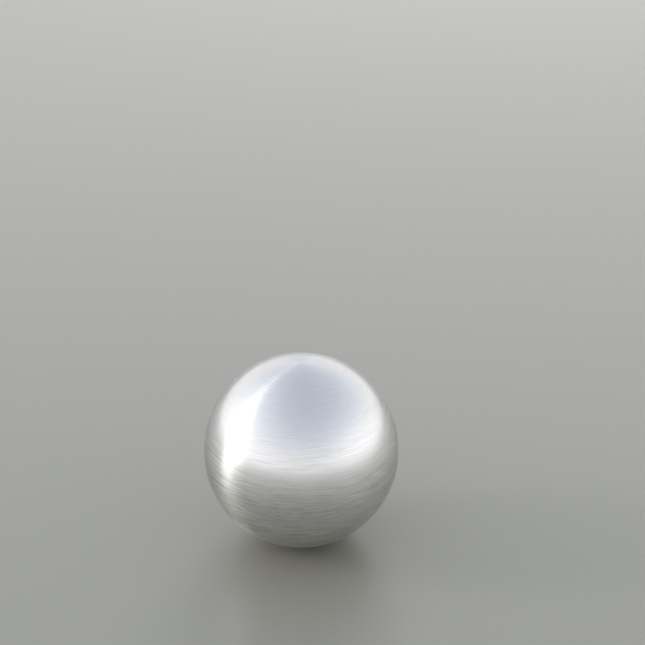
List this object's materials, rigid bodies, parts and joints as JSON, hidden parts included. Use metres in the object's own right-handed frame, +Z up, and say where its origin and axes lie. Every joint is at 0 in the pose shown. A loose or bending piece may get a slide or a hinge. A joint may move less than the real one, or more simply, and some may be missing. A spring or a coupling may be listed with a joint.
{
  "type": "brushed steel ball",
  "caption": "Closed round ball of matt brushed stainless steel, with the grain in level rings; a decoration that sits in a ring, dish or bowl.",
  "frame": {"origin": "centre of the ball", "axes": "+Z up, the axis that the brushed grain runs round; +Y away from the front, +X to the right. The ball is the same in every direction, so only the grain tells Z from the others"},
  "size_m": [0.1, 0.1, 0.1],
  "materials": {
    "brushed_steel": "matt brushed, grain in level rings round Z"
  },
  "bodies": {
    "root": {"ball": "brushed_steel"}
  },
  "joints": []
}
